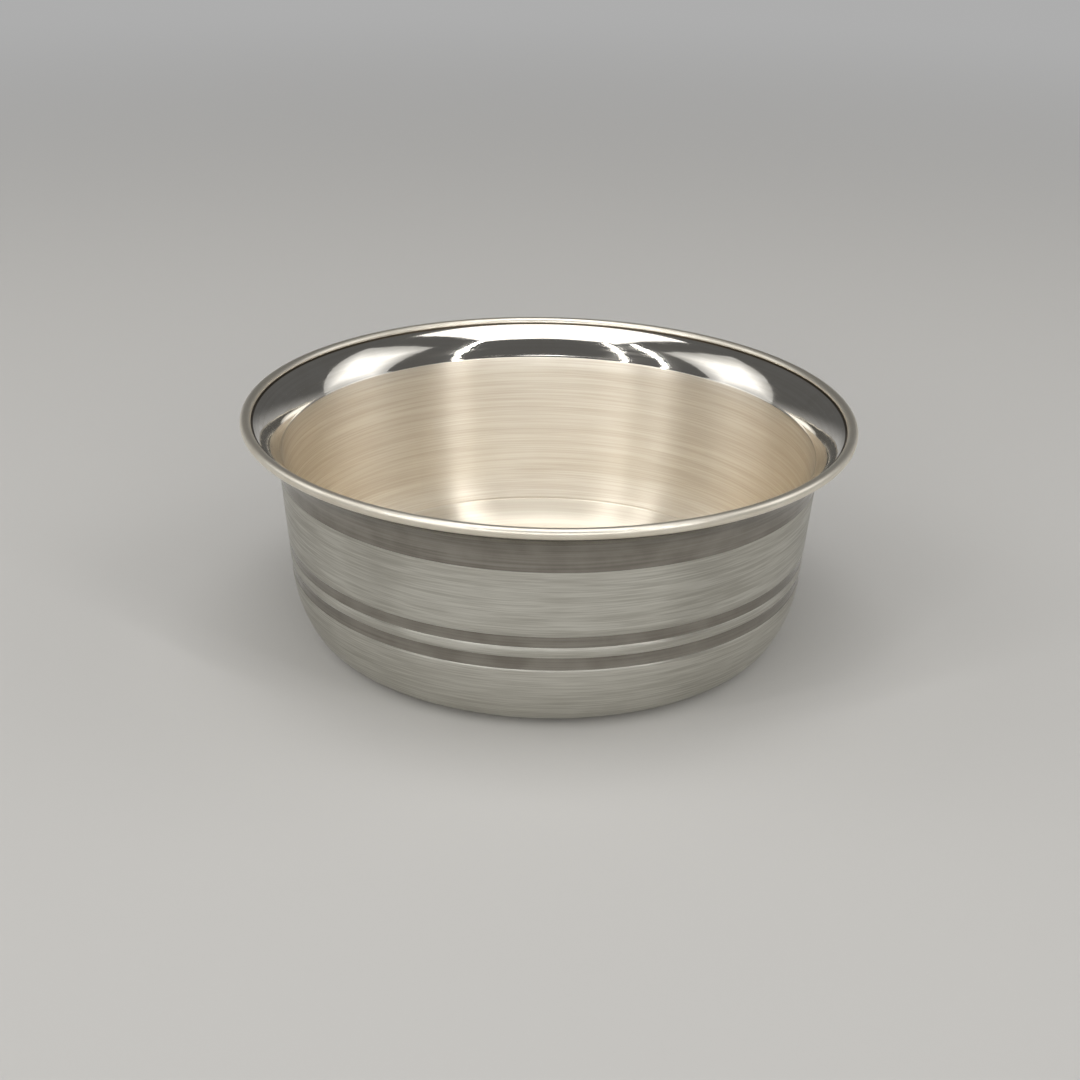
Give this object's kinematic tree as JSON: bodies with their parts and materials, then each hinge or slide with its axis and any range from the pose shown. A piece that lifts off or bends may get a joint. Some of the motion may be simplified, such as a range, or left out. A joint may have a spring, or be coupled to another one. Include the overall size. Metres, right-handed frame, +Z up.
{
  "type": "offering bowl",
  "caption": "Small spun silver offering bowl with a flat base, a steep satin wall, a flared polished lip and a round wire rim.",
  "frame": {"origin": "centre of the flat base, on the surface that the bowl stands on", "axes": "+Z up along the bowl's own axis; the bowl is round, so X and Y are any two directions across it"},
  "size_m": [0.08, 0.08, 0.03],
  "materials": {
    "satin_silver": "satin silver with fine lines round the bowl",
    "polished_silver": "polished silver"
  },
  "bodies": {
    "root": {"bowl_shell": "satin_silver", "rim_wire": "polished_silver"}
  },
  "joints": []
}
